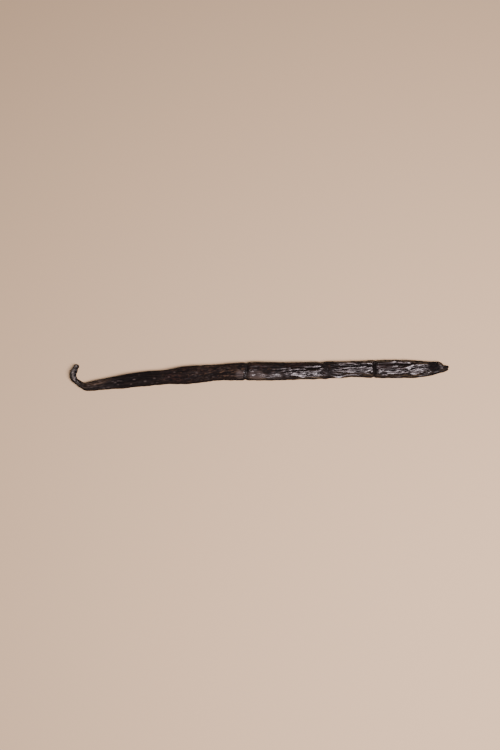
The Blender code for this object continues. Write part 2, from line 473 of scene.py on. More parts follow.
    def skin(self, along: np.ndarray, angle: np.ndarray) -> np.ndarray:
        """Rows of points on a straightened pod, with the lines of the wrinkles wandering a little."""
        radius = self.radius(along)
        plain = np.column_stack((along, radius * np.cos(angle), radius * np.sin(angle)))
        turned = angle + self.drift * noise_at(plain / MM / np.array(self.drift_size_mm) + DRIFT_SEED)
        turned = turned + np.radians(self.twist_deg.at(along))
        return np.column_stack((along, radius * np.cos(turned), radius * np.sin(turned)))

    def crossed(self, along: np.ndarray) -> np.ndarray:
        """How strongly short crinkles cross the wrinkles: most in the hook and at the creases."""
        beside = sum(bump(along / MM, crease.at_mm, self.crease_zone_mm) for crease in self.creases)
        return np.clip(self.crinkled.at(along) + self.crinkle_at_creases * beside, 0.0, 1.0)

    def lift(self, along: np.ndarray, angle: np.ndarray) -> tuple[np.ndarray, np.ndarray]:
        """The whole relief.

        Args:
            along: places along the line.
            angle: angles round the pod.

        Returns:
            How far the skin is lifted, and the part of that which comes from wrinkles, in metres.
        """
        skin = self.skin(along, angle)
        radius = self.radius(along)
        wander = noise_at(skin / MM / self.wander_size_mm + WANDER_SEED)
        strength = self.wrinkled.at(along)
        small = strength * sum(wrinkle.relief(skin) for wrinkle in self.wrinkles)
        small = small + self.crossed(along) * self.crinkles.relief(skin)
        small = small + self.knobbly.at(along) * self.knobs.relief(skin)
        small = small + sum(fold.relief(along, angle, radius) for fold in self.folds)
        dent = self.dent.spot.share(along, angle, radius)
        small = small * (1.0 - self.dent.smoothness * dent) - self.dent.depth_mm * MM * dent
        lobes = self.lobe_height * ease(along, self.lobes_from, self.lobes_full)
        lobes = lobes * np.cos(self.lobes * (angle - TOP))
        crossing = sum(crease.relief(along, angle, wander) for crease in self.creases)
        broad = self.swells.relief(skin) * strength + lobes - self.inset
        return broad + small + crossing, small + crossing


@dataclass(frozen=True)
class SkinChanges:
    """How the skin changes along the pod, and where painted highlights go, each as a share from 0 to 1. The
    finish reads them by name.
    """

    oily: Profile = steps(
        (0.0, 0.45), (14.0, 0.45), (24.0, 0.20), (32.0, 0.06), (80.0, 0.06), (86.0, 0.15), (90.5, 0.80),
        (94.0, 0.75), (98.0, 0.40), (107.0, 0.45), (112.0, 1.00), (121.5, 1.00), (124.0, 0.30),
        (126.6, 0.30), (130.0, 0.85), (146.2, 0.90), (146.7, 0.20), (147.1, 0.20), (147.8, 0.60),
        (153.0, 0.85), (168.0, 0.85), (173.0, 0.35), (181.0, 0.40),
    )
    stalk: Profile = steps((9.0, 1.0), (13.0, 0.0))
    # Painted highlight: the stretch of the neck that gets a pale streak.
    paled: Profile = steps((9.0, 0.0), (11.5, 1.0), (14.5, 1.0), (20.0, 0.0))
    neck: Profile = steps((20.0, 1.0), (27.0, 0.0))
    browned: Profile = steps(
        (34.0, 0.1), (52.0, 0.6), (66.0, 1.0), (94.0, 0.9), (104.0, 0.5), (130.0, 0.35), (181.0, 0.25),
    )
    reddened: Profile = steps((46.0, 0.0), (53.0, 1.0), (61.0, 1.0), (70.0, 0.2), (90.0, 0.0))
    tanned: Profile = steps((40.0, 0.1), (62.0, 0.8), (84.0, 1.0), (92.0, 0.3), (110.0, 0.1))
    # Where specks of painted glint are scattered.
    speckled: Profile = steps(
        (20.0, 0.2), (30.0, 1.0), (48.0, 1.0), (90.0, 0.7), (110.0, 0.2), (120.0, 0.0),
    )

    def shares(self, along: np.ndarray) -> dict[str, np.ndarray]:
        """Each change by name, at places along the line."""
        profiles = {change.name: getattr(self, change.name) for change in fields(self)}
        return {name: np.clip(profile.at(along), 0.0, 1.0) for name, profile in profiles.items()}


@dataclass(frozen=True)
class SkinSpots:
    """Places that differ from their surroundings, in the skin or as painted highlights and shade. The
    finish reads each kind by name.
    """

    wet: tuple[Spot, ...] = (
        Spot(20.3, 61.0, 1.0, 0.4),
        Spot(22.4, 137.0, 2.0, 0.4, 0.8),
        Spot(84.4, 126.0, 2.0, 2.2, 0.8),
        Spot(86.8, 108.0, 0.5, 1.3, 0.6),
        Spot(90.8, 49.0, 1.6, 0.4, 0.8),
        Spot(92.5, 112.0, 3.4, 0.9),
        Spot(91.2, 128.0, 4.2, 2.2),
        Spot(94.2, 158.0, 3.2, 0.7),
        Spot(102.2, 141.0, 2.6, 1.6, 0.35),
        Spot(112.5, 158.0, 2.8, 0.7),
        Spot(114.5, 128.0, 6.0, 1.1, 0.8),
        Spot(116.5, 141.0, 6.5, 1.0),
        Spot(117.0, 96.0, 4.5, 0.6, 0.5),
        Spot(118.5, 116.0, 4.2, 0.9),
        Spot(119.8, 156.0, 2.4, 1.1),
        Spot(119.5, 80.0, 4.0, 0.7, 0.8),
        Spot(121.0, 63.0, 2.5, 0.8),
        Spot(126.8, 74.0, 0.8, 0.5, 0.8),
        Spot(128.5, 59.0, 2.6, 0.7),
        Spot(129.0, 160.0, 3.0, 0.8),
        Spot(129.5, 111.0, 3.2, 0.9, 0.6),
        Spot(134.0, 57.0, 2.8, 0.7, 0.9),
        Spot(138.5, 80.0, 5.0, 0.6, 0.3),
        Spot(139.5, 54.0, 3.2, 0.6, 0.9),
        Spot(144.2, 113.0, 1.8, 2.0),
        Spot(144.5, 58.0, 1.3, 1.1),
        Spot(148.5, 116.0, 1.5, 0.9, 0.8),
        Spot(149.0, 42.0, 2.2, 0.5, 0.7),
        Spot(150.5, 135.0, 3.0, 0.8, 0.8),
        Spot(153.5, 125.0, 2.6, 1.6, 0.9),
        Spot(159.8, 39.0, 5.5, 0.6),
        Spot(160.5, 129.0, 5.5, 0.9),
        Spot(162.0, 74.0, 5.0, 0.7, 0.6),
        Spot(166.0, 92.0, 5.0, 1.3, 0.6),
        Spot(168.0, 62.0, 4.5, 0.8, 0.8),
        Spot(171.5, 117.0, 2.0, 0.6, 0.8),
        Spot(175.4, 134.0, 2.6, 0.35),
        Spot(177.4, 105.0, 0.7, 0.7),
        Spot(177.9, 52.0, 0.7, 0.7),
    )
    dull: tuple[Spot, ...] = (
        Spot(92.0, 74.0, 5.0, 1.6, 0.8),
        Spot(97.5, 99.0, 2.0, 2.5, 0.8),
        Spot(101.5, 74.0, 5.0, 1.5, 0.6),
        Spot(111.2, 67.0, 5.0, 1.3, 0.8),
        Spot(139.8, 121.0, 3.0, 1.6, 0.6),
        Spot(146.6, 124.0, 0.7, 0.8),
        Spot(147.0, 84.0, 0.8, 1.3),
        Spot(147.4, 58.0, 1.3, 1.0),
        Spot(147.3, 110.0, 0.8, 0.7, 0.8),
        Spot(151.0, 56.0, 3.6, 1.2, 0.7),
        Spot(151.8, 73.0, 4.5, 1.2, 0.8),
    )
    # Painted shade: near-black marks along grooves and in the hollow behind the lips; they also make the
    # skin rougher and without oil film.
    dark: tuple[Spot, ...] = (
        Spot(129.5, 138.0, 3.2, 0.4),
        Spot(133.5, 67.0, 3.0, 0.28, 0.9),
        Spot(139.2, 67.0, 4.5, 0.28, 0.9),
        Spot(169.5, 128.0, 1.6, 0.6, 0.8),
        Spot(174.2, 66.0, 3.2, 2.2, 0.9),
        Spot(175.0, 106.0, 2.4, 1.7, 0.85),
        Spot(172.6, 88.0, 1.4, 1.2, 0.8),
        Spot(180.2, 110.0, 1.3, 2.6, 0.7),
    )
    # Painted highlights: small pale spots paint glints on the stalk, neck and middle stretch, larger ones
    # paint the sheen beside the first crease and on the dent, and two paint highlights on the lips.
    pale: tuple[Spot, ...] = (
        Spot(7.2, 101.0, 0.7, 0.5),
        Spot(12.4, 121.0, 1.6, 0.5, 0.5),
        Spot(15.0, 112.0, 2.4, 0.3, 0.4),
        Spot(20.0, 61.0, 0.9, 0.4, 0.9),
        Spot(21.5, 142.0, 0.7, 0.4, 0.8),
        Spot(23.6, 133.0, 1.0, 0.35, 0.7),
        Spot(25.2, 54.0, 0.6, 0.3, 0.5),
        Spot(25.8, 85.0, 0.6, 0.3, 0.7),
        Spot(27.0, 98.0, 0.6, 0.35, 0.8),
        Spot(28.4, 88.0, 0.6, 0.3, 0.6),
        Spot(28.2, 119.0, 0.6, 0.3, 0.5),
        Spot(29.6, 92.0, 0.6, 0.3, 0.5),
        Spot(35.8, 93.0, 0.75, 0.35, 0.9),
        Spot(40.8, 115.0, 0.65, 0.45),
        Spot(44.0, 137.0, 0.65, 0.35, 0.7),
        Spot(45.2, 102.0, 0.65, 0.35, 0.6),
        Spot(46.1, 138.0, 0.65, 0.35, 0.8),
        Spot(64.8, 86.0, 0.65, 0.45),
        Spot(64.2, 105.0, 0.6, 0.3, 0.5),
        Spot(69.2, 124.0, 0.6, 0.35, 0.5),
        Spot(84.4, 128.0, 2.0, 2.4, 0.70),
        Spot(92.0, 130.0, 4.6, 2.4, 0.75),
        Spot(102.4, 138.0, 2.4, 1.6, 0.30),
        Spot(177.4, 105.0, 0.7, 0.5, 0.8),
        Spot(177.9, 52.0, 0.7, 0.5, 0.8),
    )
    tanned: tuple[Spot, ...] = (
        Spot(68.0, 132.0, 3.0, 1.4, 0.5),
        Spot(72.0, 49.0, 3.5, 0.35, 0.6),
        Spot(76.5, 168.0, 1.0, 0.4),
        Spot(77.5, 89.0, 1.9, 0.35),
        Spot(78.0, 126.0, 4.2, 0.3, 0.8),
        Spot(83.5, 100.0, 1.5, 1.6, 0.5),
        Spot(125.4, 88.0, 1.4, 1.8, 0.35),
    )
    reddened: tuple[Spot, ...] = (
        Spot(54.0, 115.0, 1.2, 0.6),
        Spot(56.2, 128.0, 1.8, 1.0),
        Spot(60.5, 128.0, 2.4, 1.9, 0.8),
        Spot(92.0, 74.0, 6.0, 1.8, 0.7),
        Spot(111.0, 67.0, 6.0, 1.5, 0.7),
        Spot(151.0, 73.0, 4.5, 1.3, 0.7),
        Spot(173.8, 84.0, 2.4, 1.0, 0.9),
    )

    def shares(self, along: np.ndarray, angle: np.ndarray, radius: np.ndarray) -> dict[str, np.ndarray]:
        """Each kind of spot by name, as shares from 0 to 1 at each place."""
        kinds = {kind.name: getattr(self, kind.name) for kind in fields(self)}
        return {
            name: np.max([spot.share(along, angle, radius) for spot in spots], axis=0)
            for name, spots in kinds.items()
        }


@dataclass
class PodSkin:
    """The whole pod as one mesh."""

    line: PodLine = field(default_factory=PodLine)
    sections: Sections = field(default_factory=Sections)
    around: int = 22
    segments: int = 62
    subdivisions: int = 3
    hook_step: float = 2.0 * MM
    body_step: float = 5.2 * MM
    crease_step: float = 1.3 * MM
    lip_step: float = 1.25 * MM
    hook_step_to: float = 12.0 * MM
    body_step_from: float = 24.0 * MM
    body_step_to: float = 167.0 * MM
    lip_step_from: float = 174.0 * MM
    flat_depth: float = 0.3 * MM
    underside_give: float = 0.35 * MM
    flank_from: float = math.radians(50.0)
    flank_full: float = math.radians(80.0)
    hook_lift: float = 1.0 * MM
    hook_lift_to: float = 30.0 * MM
    lip_lift: float = 0.9 * MM
    lip_lift_from: float = 159.0 * MM
    hollow_at: float = 175.0 * MM
    hollow_depth: float = 1.0 * MM
    hollow_half: float = 2.4 * MM
    hollow_facing: float = math.radians(78.0)
    hollow_edge: float = 1.5
    lips_at: float = 178.4 * MM
    lips_half: float = 1.3 * MM
    lips_height: float = 0.30 * MM
    lower_lip_reach: float = 2.2 * MM
    upper_lip_side: tuple[float, float] = (-0.15, 0.60)
    notch: float = 0.25
    notch_facing: float = math.radians(68.0)
    notch_half: float = math.radians(14.0)
    pit_depth: float = 0.9 * MM
    pit_rings: tuple[tuple[float, float], ...] = ((0.72, -0.10), (0.50, 0.55), (0.25, 1.0))
    pit_from: float = 178.0 * MM
    pit_full: float = 179.5 * MM
    pit_rim: tuple[float, float] = (0.70, 0.92)
    cap_share: float = 0.62
    cap_bulge: float = 0.75
    cap_scar: tuple[float, float] = (-0.9 * MM, -0.3 * MM)
    wrinkle_range: float = 0.35 * MM
    place_samples: int = 2000

    def build(self) -> bpy.types.Object:
        """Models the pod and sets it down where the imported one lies.

        Returns:
            The finished piece.
        """
        relief = Relief(self.sections)
        pod = self._straight_pod(relief)
        self._subdivide(pod)
        self._sculpt(pod, relief)
        self._bend(pod)
        self._set_down(pod)
        return pod

    def _places(self, relief: Relief) -> np.ndarray:
        """Where the straight pod has its rings: closest together at the creases, the hook and the lips."""
        along = np.linspace(0.0, self.line.length, self.place_samples)
        closeness = 1.0 / self.body_step + (1.0 / self.hook_step - 1.0 / self.body_step) * (
            1.0 - ease(along, self.hook_step_to, self.body_step_from)
        )
        for crease in relief.creases[1:]:
            beside = bump(along / MM, crease.at_mm, relief.crease_zone_mm)
            closeness += (1.0 / self.crease_step - 1.0 / self.body_step) * beside
        past_body = ease(along, self.body_step_to, self.lip_step_from)
        closeness += (1.0 / self.lip_step - 1.0 / self.body_step) * past_body
        total = np.concatenate(([0.0], np.cumsum((closeness[1:] + closeness[:-1]) / 2)))
        shares = np.linspace(0.0, total[-1], self.segments + 1)
        return np.interp(shares, total, along)

    def _straight_pod(self, relief: Relief) -> bpy.types.Object:
        """Extrudes the pod ring by ring along +X, from the stalk's end to the pit between the lips."""
        end_radius = float(self.sections.width(0.0)) / 2
        cap_width = 2.0 * self.cap_share * end_radius
        cap_at = -self.cap_bulge * end_radius
        kept_by_subdividing = (2.0 + math.cos(math.tau / self.around)) / 3.0
        bpy.ops.object.select_all(action="DESELECT")
        bpy.ops.mesh.primitive_circle_add(
            vertices=self.around,
            radius=cap_width / 2 / kept_by_subdividing,
            fill_type="NGON",
            location=(cap_at, 0.0, 0.0),
            rotation=(0.0, math.pi / 2, 0.0),
        )
        pod = bpy.context.active_object
        pod.name = "vanilla_pod"
        bpy.ops.object.transform_apply(location=True, rotation=True, scale=True)
        bpy.ops.object.mode_set(mode="EDIT")
        bpy.ops.mesh.select_all(action="SELECT")
        now = np.array((cap_at, cap_width, cap_width))
        for place in self._places(relief):
            size = np.array((place, self.sections.width(place), self.sections.thickness(place)))
            self._extrude_to(now, size)
            now = size
        for share, back in self.pit_rings:
            size = np.array((self.line.length - back * self.pit_depth, now[1], now[2]))
            size[1:] = share * float(self.sections.width(self.line.length))
            self._extrude_to(now, size)
            now = size
        bpy.ops.mesh.select_all(action="SELECT")
        bpy.ops.mesh.normals_make_consistent(inside=False)
        bpy.ops.object.mode_set(mode="OBJECT")
        return pod

    @staticmethod
    def _extrude_to(now: np.ndarray, size: np.ndarray) -> None:
        """Extrudes the selected end face.

        Args:
            now: the face's place, width and thickness.
            size: the place, width and thickness that it gets.
        """
        bpy.ops.mesh.extrude_region_move(TRANSFORM_OT_translate={"value": (size[0] - now[0], 0.0, 0.0)})
        bpy.ops.transform.resize(
            value=(1.0, size[1] / now[1], size[2] / now[2]), center_override=(size[0], 0.0, 0.0)
        )

    def _subdivide(self, pod: bpy.types.Object) -> None:
        """Makes the mesh fine enough for the smallest wrinkles."""
        modifier = pod.modifiers.new("fine", "SUBSURF")
        modifier.levels = self.subdivisions
        modifier.render_levels = self.subdivisions
        bpy.ops.object.modifier_apply(modifier="fine")

    def _sculpt(self, pod: bpy.types.Object, relief: Relief) -> None:
        """Moves each vertex by the relief, and keeps what the finish reads as attributes."""
        mesh = pod.data
        points = self._rows(mesh.vertices, "co")
        normals = self._rows(mesh.vertex_normals, "vector")
        along = np.clip(points[:, 0], 0.0, self.line.length)
        flatness = self.sections.thickness(along) / self.sections.width(along)
        angle = np.arctan2(points[:, 2] / flatness, points[:, 1])
        lift, wrinkle = relief.lift(along, angle)
        inside_pit = self._inside_pit(points)
        points[:, 1:] *= self.sections.fullness(along, angle)[:, None]
        lift = lift * (1.0 - inside_pit) + self._blossom_end(along, angle)
        points += normals * lift[:, None]
        roll = self.sections.roll(along)
        across, up = points[:, 1].copy(), points[:, 2].copy()
        points[:, 1] = across * np.cos(roll) + up * np.sin(roll)
        points[:, 2] = up * np.cos(roll) - across * np.sin(roll)
        points[:, 0] += self._lip_reach(along, angle)
        mesh.vertices.foreach_set("co", points.ravel())
        radius = relief.radius(along)
        spots = SkinSpots().shares(along, angle, radius)
        # The flank share: the finish darkens the colour there as painted shade, and makes the skin rougher
        # with no oil film.
        flank = ease(np.abs(turn_between(angle, TOP)), self.flank_from, self.flank_full)
        kept = {
            "skin": relief.skin(along, angle) / MM,
            "wrinkle": np.clip(-wrinkle / self.wrinkle_range, -1.0, 1.0),
            "along": along / MM,
            "flank": flank * (1.0 - spots["wet"]),
            "dent": relief.dent.spot.share(along, angle, radius),
            "scar": np.maximum(inside_pit, 1.0 - ease(points[:, 0], *self.cap_scar)),
            **SkinChanges().shares(along),
            **{f"{name}_spots": share for name, share in spots.items()},
        }
        for name, values in kept.items():
            self._keep(mesh, name, values)
        mesh.update()

    def _inside_pit(self, points: np.ndarray) -> np.ndarray:
        """1 in the pit between the lips, and 0 on the skin."""
        end = float(self.sections.width(self.line.length)) / 2
        flatness = self.sections.thickness(self.line.length) / self.sections.width(self.line.length)
        from_axis = np.hypot(points[:, 1], points[:, 2] / flatness)
        near_end = ease(points[:, 0], self.pit_from, self.pit_full)
        return near_end * (1.0 - ease(from_axis / end, *self.pit_rim))

    def _blossom_end(self, along: np.ndarray, angle: np.ndarray) -> np.ndarray:
        """The hollow behind the lips on the upper side, and the swelling of the lips themselves."""
        upper = np.clip(np.cos(angle - self.hollow_facing), 0.0, 1.0) ** self.hollow_edge
        hollow = self.hollow_depth * bump(along, self.hollow_at, self.hollow_half) * upper
        return self.lips_height * bump(along, self.lips_at, self.lips_half) - hollow

    def _lip_reach(self, along: np.ndarray, angle: np.ndarray) -> np.ndarray:
        """How far the end is drawn back round its rim, so that two uneven lips stand out."""
        past_neck = ease(along, self.hollow_at, self.line.length)
        upper_lip = ease(np.cos(angle), *self.upper_lip_side)
        notch = self.notch * bump(turn_between(angle, self.notch_facing), 0.0, self.notch_half)
        return -self.lower_lip_reach * past_neck * (upper_lip + notch)

    @staticmethod
    def _rows(items: bpy.types.bpy_prop_collection, name: str) -> np.ndarray:
        """A vector property of many items, one row an item."""
        values = np.empty(len(items) * 3)
        items.foreach_get(name, values)
        return values.reshape(-1, 3)

    @staticmethod
    def _keep(mesh: bpy.types.Mesh, name: str, values: np.ndarray) -> None:
        """Stores values on the vertices under a name that a finish can read."""
        kind, key = ("FLOAT_VECTOR", "vector") if values.ndim == 2 else ("FLOAT", "value")
        attribute = mesh.attributes.new(name, kind, "POINT")
        attribute.data.foreach_set(key, values.astype(np.float32).ravel())

    def _bend(self, pod: bpy.types.Object) -> None:
        """Bends the straight pod along its line with a Curve modifier."""
        _, course = self.line.points()
        guide_data = bpy.data.curves.new("pod_line", "CURVE")
        guide_data.dimensions = "2D"
        guide_data.use_deform_bounds = False
        spline = guide_data.splines.new("POLY")
        spline.points.add(len(course) - 1)
        rows = np.zeros((len(course), 4))
        rows[:, :2] = course
        spline.points.foreach_set("co", rows.ravel())
        guide = bpy.data.objects.new("pod_line", guide_data)
        bpy.context.scene.collection.objects.link(guide)
        modifier = pod.modifiers.new("bend", "CURVE")
        modifier.object = guide
        modifier.deform_axis = "POS_X"
        bpy.ops.object.modifier_apply(modifier="bend")
        bpy.data.objects.remove(guide, do_unlink=True)
        bpy.data.curves.remove(guide_data)

    def _set_down(self, pod: bpy.types.Object) -> None:
        """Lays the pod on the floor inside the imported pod's box, with its underside pressed flat."""
        mesh = pod.data
        points = self._rows(mesh.vertices, "co")
        along = np.empty(len(points))
        mesh.attributes["along"].data.foreach_get("value", along)
        along *= MM
        hook = self.hook_lift * (1.0 - ease(along, 0.0, self.hook_lift_to))
        lips = self.lip_lift * ease(along, self.lip_lift_from, self.line.length)
        points[:, 2] += self.sections.thickness(along) / 2 - self.flat_depth + hook + lips
        pressed = self.underside_give * np.exp(np.minimum(points[:, 2] / self.underside_give - 1.0, 0.0))
        points[:, 2] = np.where(points[:, 2] < self.underside_give, pressed, points[:, 2])
        points[:, 2] -= points[:, 2].min()
        low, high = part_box(NODE)
        for axis in (0, 1):
            middle = (points[:, axis].min() + points[:, axis].max()) / 2
            points[:, axis] += (low[axis] + high[axis]) / 2 - middle
        mesh.vertices.foreach_set("co", points.ravel())
        mesh.update()
        bpy.ops.object.shade_smooth()


class Ramp(NamedTuple):
    """A smooth change: as a value goes from low to high, the result goes from start to end."""

    low: float
    high: float
    start: float = 0.0
    end: float = 1.0


@dataclass(frozen=True)
class NodeMaker:
    """Adds and joins nodes in one node tree."""

    tree: bpy.types.NodeTree

    def add(self, kind: str, **settings: object) -> bpy.types.Node:
        """Adds a node and sets its properties.

        Args:
            kind: the node's type name.
            settings: property values by name.

        Returns:
            The new node.
        """
        node = self.tree.nodes.new(kind)
        for name, value in settings.items():
            setattr(node, name, value)
        return node

    def value(self, source: object, socket: Socket) -> None:
        """Feeds a socket from another socket, or sets it to a plain value."""
        if isinstance(source, Socket):
            self.tree.links.new(source, socket)
        else:
            socket.default_value = source

    def maths(self, operation: str, *sources: object, clamp: bool = False) -> Socket:
        """A Math node over sockets or numbers, and its result."""
        node = self.add("ShaderNodeMath", operation=operation, use_clamp=clamp)
        for source, socket in zip(sources, node.inputs):
            self.value(source, socket)
        return node.outputs[0]

    def times(self, first: object, second: object) -> Socket:
        """The product of two values."""
        return self.maths("MULTIPLY", first, second)

    def rest(self, share: object) -> Socket:
        """What a share leaves of 1."""
        return self.maths("SUBTRACT", 1.0, share)

    def remap(self, source: object, ramp: Ramp) -> Socket:
        """A value carried over a ramp."""
        node = self.add("ShaderNodeMapRange", interpolation_type="SMOOTHSTEP")
        for value, socket in zip((source, *ramp), node.inputs):
            self.value(value, socket)
        return node.outputs["Result"]

    def blend(self, share: object, first: object, second: object) -> Socket:
        """Mixes a share of the second colour into the first."""
        node = self.add("ShaderNodeMix", data_type="RGBA")
        for source, index in ((share, 0), (first, 6), (second, 7)):
            self.value(source, node.inputs[index])
        return node.outputs[2]

    def attribute(self, name: str, output: str = "Fac") -> Socket:
        """What the mesh keeps under a name."""
        return self.add("ShaderNodeAttribute", attribute_name=name).outputs[output]


class Grain(NamedTuple):
    """A grain's size across and along the pod, in millimetres, and how many finer layers it has."""

    pitch_mm: float
    run_mm: float
    layers: float


@dataclass(frozen=True)
class GrainGroup:
    """A shared pattern: noise drawn out along the pod, as streaks in colour, gloss or height."""

    name: str = "drawn_out_grain"

    def tree(self) -> bpy.types.NodeTree:
        """The group, made the first time it is asked for."""
        found = bpy.data.node_groups.get(self.name)
        if found:
            return found
        tree = bpy.data.node_groups.new(self.name, "ShaderNodeTree")
        for label, kind, value in (
            ("Skin", "NodeSocketVector", None),
            ("Pitch", "NodeSocketFloat", 0.5),
            ("Run", "NodeSocketFloat", 5.0),
            ("Detail", "NodeSocketFloat", 2.0),
        ):
            socket = tree.interface.new_socket(label, in_out="INPUT", socket_type=kind)
            if value is not None:
                socket.default_value = value
        tree.interface.new_socket("Value", in_out="OUTPUT", socket_type="NodeSocketFloat")
        make = NodeMaker(tree)
        inputs, outputs = make.add("NodeGroupInput"), make.add("NodeGroupOutput")
        sizes = make.add("ShaderNodeCombineXYZ")
        for name, socket in zip(("Run", "Pitch", "Pitch"), sizes.inputs):
            make.value(inputs.outputs[name], socket)
        scaled = make.add("ShaderNodeVectorMath", operation="DIVIDE")
        make.value(inputs.outputs["Skin"], scaled.inputs[0])
        make.value(sizes.outputs[0], scaled.inputs[1])
        pattern = make.add("ShaderNodeTexNoise", noise_dimensions="3D")
        pattern.inputs["Scale"].default_value = 1.0
        make.value(scaled.outputs[0], pattern.inputs["Vector"])
        make.value(inputs.outputs["Detail"], pattern.inputs["Detail"])
        make.value(pattern.outputs["Fac"], outputs.inputs["Value"])
        return tree

    def use(self, make: NodeMaker, skin: Socket, grain: Grain) -> Socket:
        """Places the group in a material.

        Args:
            make: the material's node maker.
            skin: the socket with the straightened skin's coordinates, in millimetres.
            grain: the grain's size.

        Returns:
            The grain's value, from 0 to 1.
        """
        node = make.add("ShaderNodeGroup")
        node.node_tree = self.tree()
        make.value(skin, node.inputs["Skin"])
        for name, number in zip(("Pitch", "Run", "Detail"), grain):
            node.inputs[name].default_value = number
        return node.outputs["Value"]


@dataclass(frozen=True)
class SpeckGroup:
    """A shared pattern: small specks scattered over the skin, in some of its cells only; the finish paints
    glints with it.
    """

    name: str = "scattered_specks"
    cell_mm: tuple[float, float, float] = (3.2, 1.7, 1.7)
    kept: Ramp = Ramp(0.56, 0.60)
    reach: Ramp = Ramp(0.22, 0.08)

    def tree(self) -> bpy.types.NodeTree:
        """The group, made the first time it is asked for."""
        found = bpy.data.node_groups.get(self.name)
        if found:
            return found
        tree = bpy.data.node_groups.new(self.name, "ShaderNodeTree")
        tree.interface.new_socket("Skin", in_out="INPUT", socket_type="NodeSocketVector")
        tree.interface.new_socket("Speck", in_out="OUTPUT", socket_type="NodeSocketFloat")
        make = NodeMaker(tree)
        inputs, outputs = make.add("NodeGroupInput"), make.add("NodeGroupOutput")
        scaled = make.add("ShaderNodeVectorMath", operation="DIVIDE")
        make.value(inputs.outputs["Skin"], scaled.inputs[0])
        scaled.inputs[1].default_value = self.cell_mm
        cells = make.add("ShaderNodeTexVoronoi", voronoi_dimensions="3D", feature="F1")
        cells.inputs["Scale"].default_value = 1.0
        make.value(scaled.outputs[0], cells.inputs["Vector"])
        near = make.remap(cells.outputs["Distance"], self.reach)
        chosen = make.remap(cells.outputs["Color"], self.kept)
        make.value(make.times(near, chosen), outputs.inputs["Speck"])
        return tree

    def use(self, make: NodeMaker, skin: Socket) -> Socket:
        """Places the group in a material.

        Args:
            make: the material's node maker.
            skin: the socket with the straightened skin's coordinates, in millimetres.

        Returns:
            1 on a speck, 0 elsewhere.
        """
        node = make.add("ShaderNodeGroup")
        node.node_tree = self.tree()
        make.value(skin, node.inputs["Skin"])
        return node.outputs["Speck"]


@dataclass(frozen=True)
class SkinReadings:
    """What the finish reads from the mesh and from its patterns, as sockets of one material."""

    skin: Socket
    side: Socket
    wrinkle: Socket
    flank: Socket
    dent: Socket
    scar: Socket
    changes: dict[str, Socket]
    spots: dict[str, Socket]
    streaks: Socket
    threads: Socket
    patches: Socket
    flecks: Socket
    lines: Socket
    mottles: Socket
    specks: Socket


